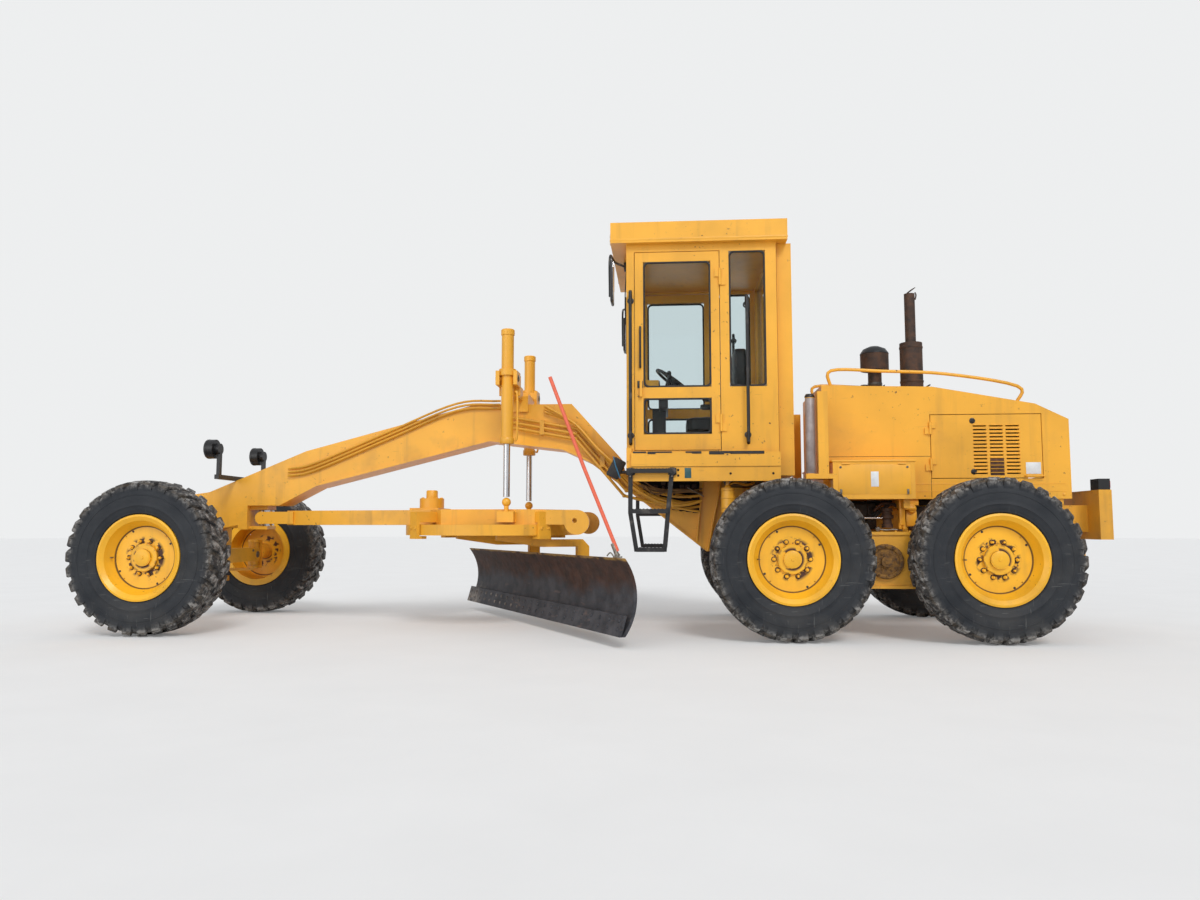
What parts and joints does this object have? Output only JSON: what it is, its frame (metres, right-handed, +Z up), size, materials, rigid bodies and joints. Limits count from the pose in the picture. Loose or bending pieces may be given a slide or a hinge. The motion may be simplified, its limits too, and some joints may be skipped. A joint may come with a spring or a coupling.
{
  "type": "motor grader",
  "caption": "Motor grader with a hinged frame, tandem rear wheels, leaning front wheels, a cab and a curved blade under a turning circle.",
  "frame": {"origin": "on the ground under the middle of the machine's outer box", "axes": "+X forward, +Y to the driver's left, +Z up"},
  "size_m": [8.45, 3.2396, 3.405],
  "materials": {
    "yellow_paint": "worn machine paint, chipped at nuts and edges",
    "rim_paint": "yellow paint, chipped to dark steel round the nuts",
    "black_paint": "semi-gloss black",
    "tyre_rubber": "worn rubber, dusty grey on the lugs",
    "engine_grey": "oily dark metal",
    "clear_glass": "flat cab glass",
    "seat_vinyl": "black vinyl",
    "bright_steel": "polished rods and pins",
    "blade_steel": "brown rust above, dark scoured steel below"
  },
  "bodies": {
    "rear": {"rear_frame": "yellow_paint", "rear_axle": "yellow_paint", "side_boxes": "yellow_paint", "tandem_left": "yellow_paint", "tandem_right": "yellow_paint", "power_unit": "engine_grey", "hood": "yellow_paint", "rear_grille": "black_paint", "exhaust": "black_paint", "lamps_rear": "black_paint"},
    "engine_door_left": {"engine_door_left": "yellow_paint"},
    "engine_door_right": {"engine_door_right": "yellow_paint"},
    "front": {"front_frame": "yellow_paint", "lift_saddle": "yellow_paint", "swivel_bracket": "yellow_paint", "cab": "yellow_paint", "cab_glass": "clear_glass", "rops_posts": "yellow_paint", "seat": "seat_vinyl", "console": "black_paint", "ladders": "black_paint", "front_axle": "yellow_paint", "lamps_front": "black_paint", "air_canister": "yellow_paint", "service_lines": "yellow_paint"},
    "cab_door_left": {"cab_door_left": "yellow_paint", "door_glass_left": "clear_glass"},
    "cab_door_right": {"cab_door_right": "yellow_paint", "door_glass_right": "clear_glass"},
    "lean_left": {"lean_knuckle_left": "yellow_paint"},
    "lean_right": {"lean_knuckle_right": "yellow_paint"},
    "steer_left": {"steer_fork_left": "yellow_paint"},
    "steer_right": {"steer_fork_right": "yellow_paint"},
    "tie_rod": {"tie_rod": "yellow_paint"},
    "drawbar_swivel": {"drawbar_swivel": "bright_steel"},
    "drawbar": {"drawbar": "yellow_paint"},
    "circle": {"circle_ring": "yellow_paint"},
    "carrier": {"blade_carrier": "yellow_paint"},
    "blade": {"blade": "blade_steel"},
    "wheel_rear_fore_left": {"rim_rear_fore_left": "rim_paint", "tyre_rear_fore_left": "tyre_rubber"},
    "wheel_rear_aft_left": {"rim_rear_aft_left": "rim_paint", "tyre_rear_aft_left": "tyre_rubber"},
    "wheel_rear_fore_right": {"rim_rear_fore_right": "rim_paint", "tyre_rear_fore_right": "tyre_rubber"},
    "wheel_rear_aft_right": {"rim_rear_aft_right": "rim_paint", "tyre_rear_aft_right": "tyre_rubber"},
    "wheel_front_left": {"rim_front_left": "rim_paint", "tyre_front_left": "tyre_rubber"},
    "wheel_front_right": {"rim_front_right": "rim_paint", "tyre_front_right": "tyre_rubber"},
    "lift_barrel_left": {"lift_barrel_left": "yellow_paint"},
    "lift_rod_left": {"lift_rod_left": "bright_steel"},
    "lift_barrel_right": {"lift_barrel_right": "yellow_paint"},
    "lift_rod_right": {"lift_rod_right": "bright_steel"}
  },
  "joints": [
    {"name": "articulation", "type": "hinge", "parent": "rear", "child": "front", "pos_m": [-1.325, 0, 0.94], "axis": [0, 0, 1], "range_deg": [-20, 20]},
    {"name": "engine_door_left_hinge", "type": "hinge", "parent": "rear", "child": "engine_door_left", "pos_m": [-2.829, 0.532, 1.5], "axis": [0, 0, 1], "range_deg": [-95, 0]},
    {"name": "cab_door_left_hinge", "type": "hinge", "parent": "front", "child": "cab_door_left", "pos_m": [-1.111, 0.732, 2.3], "axis": [0, 0, 1], "range_deg": [0, 110]},
    {"name": "roll_rear_fore_left", "type": "hinge", "parent": "rear", "child": "wheel_rear_fore_left", "pos_m": [-1.613, 1.025, 0.625], "axis": [0, 1, 0], "continuous": true},
    {"name": "roll_rear_aft_left", "type": "hinge", "parent": "rear", "child": "wheel_rear_aft_left", "pos_m": [-3.137, 1.025, 0.625], "axis": [0, 1, 0], "continuous": true},
    {"name": "engine_door_right_hinge", "type": "hinge", "parent": "rear", "child": "engine_door_right", "pos_m": [-2.829, -0.532, 1.5], "axis": [0, 0, -1], "range_deg": [-95, 0]},
    {"name": "cab_door_right_hinge", "type": "hinge", "parent": "front", "child": "cab_door_right", "pos_m": [-1.111, -0.732, 2.3], "axis": [0, 0, -1], "range_deg": [0, 110]},
    {"name": "roll_rear_fore_right", "type": "hinge", "parent": "rear", "child": "wheel_rear_fore_right", "pos_m": [-1.613, -1.025, 0.625], "axis": [0, 1, 0], "continuous": true},
    {"name": "roll_rear_aft_right", "type": "hinge", "parent": "rear", "child": "wheel_rear_aft_right", "pos_m": [-3.137, -1.025, 0.625], "axis": [0, 1, 0], "continuous": true},
    {"name": "lean_left_pivot", "type": "hinge", "parent": "front", "child": "lean_left", "pos_m": [3.545, 0.7, 0.6], "axis": [1, 0, 0], "range_deg": [-18, 18]},
    {"name": "lean_right_pivot", "type": "hinge", "parent": "front", "child": "lean_right", "pos_m": [3.545, -0.7, 0.6], "axis": [1, 0, 0], "range_deg": [-18, 18]},
    {"name": "steer_left_pin", "type": "hinge", "parent": "lean_left", "child": "steer_left", "pos_m": [3.545, 0.8, 0.6], "axis": [0, 0, 1], "range_deg": [-50, 50]},
    {"name": "steer_right_pin", "type": "hinge", "parent": "lean_right", "child": "steer_right", "pos_m": [3.545, -0.8, 0.6], "axis": [0, 0, 1], "range_deg": [-50, 50]},
    {"name": "tie_rod_slide", "type": "slide", "parent": "front", "child": "tie_rod", "axis": [0, 1, 0], "range_m": [-0.1542, 0.1542]},
    {"name": "roll_front_left", "type": "hinge", "parent": "steer_left", "child": "wheel_front_left", "pos_m": [3.545, 1.025, 0.625], "axis": [0, 1, 0], "continuous": true},
    {"name": "roll_front_right", "type": "hinge", "parent": "steer_right", "child": "wheel_front_right", "pos_m": [3.545, -1.025, 0.625], "axis": [0, 1, 0], "continuous": true},
    {"name": "centre_shift", "type": "hinge", "parent": "front", "child": "drawbar_swivel", "pos_m": [3.045, 0, 0.955], "axis": [0, 0, 1], "range_deg": [-8, 8]},
    {"name": "blade_lift", "type": "hinge", "parent": "drawbar_swivel", "child": "drawbar", "pos_m": [3.045, 0, 0.955], "axis": [0, 1, 0], "range_deg": [-13, 8]},
    {"name": "circle_turn", "type": "hinge", "parent": "drawbar", "child": "circle", "pos_m": [0.925, 0, 0.845], "axis": [0, 0, 1], "continuous": true},
    {"name": "blade_tip", "type": "hinge", "parent": "circle", "child": "carrier", "pos_m": [0.41405, -0.295, 0.255], "axis": [-0.5, 0.866, 0], "range_deg": [-10, 30]},
    {"name": "side_shift", "type": "slide", "parent": "carrier", "child": "blade", "axis": [-0.5, 0.866, 0], "range_m": [-0.7, 0.35]},
    {"name": "lift_swing_left", "type": "hinge", "parent": "front", "child": "lift_barrel_left", "pos_m": [0.685, 0.6, 2.13], "axis": [1, 0, 0], "range_deg": [-17, 17]},
    {"name": "lift_stroke_left", "type": "slide", "parent": "lift_barrel_left", "child": "lift_rod_left", "axis": [0, 0, 1], "range_m": [-0.55, 0.345]},
    {"name": "lift_swing_right", "type": "hinge", "parent": "front", "child": "lift_barrel_right", "pos_m": [0.685, -0.6, 2.13], "axis": [1, 0, 0], "range_deg": [-17, 17]},
    {"name": "lift_stroke_right", "type": "slide", "parent": "lift_barrel_right", "child": "lift_rod_right", "axis": [0, 0, 1], "range_m": [-0.55, 0.345]}
  ],
  "couplings": [
    {"joint": "lean_right_pivot", "follows": "lean_left_pivot", "ratio": 1},
    {"joint": "steer_right_pin", "follows": "steer_left_pin", "ratio": 1},
    {"joint": "tie_rod_slide", "follows": "steer_left_pin", "m_per_rad": 0.17556},
    {"joint": "lift_swing_left", "follows": "centre_shift", "ratio": -2},
    {"joint": "lift_stroke_left", "follows": "blade_lift", "m_per_rad": 2.36},
    {"joint": "lift_swing_right", "follows": "centre_shift", "ratio": -2},
    {"joint": "lift_stroke_right", "follows": "blade_lift", "m_per_rad": 2.36}
  ]
}
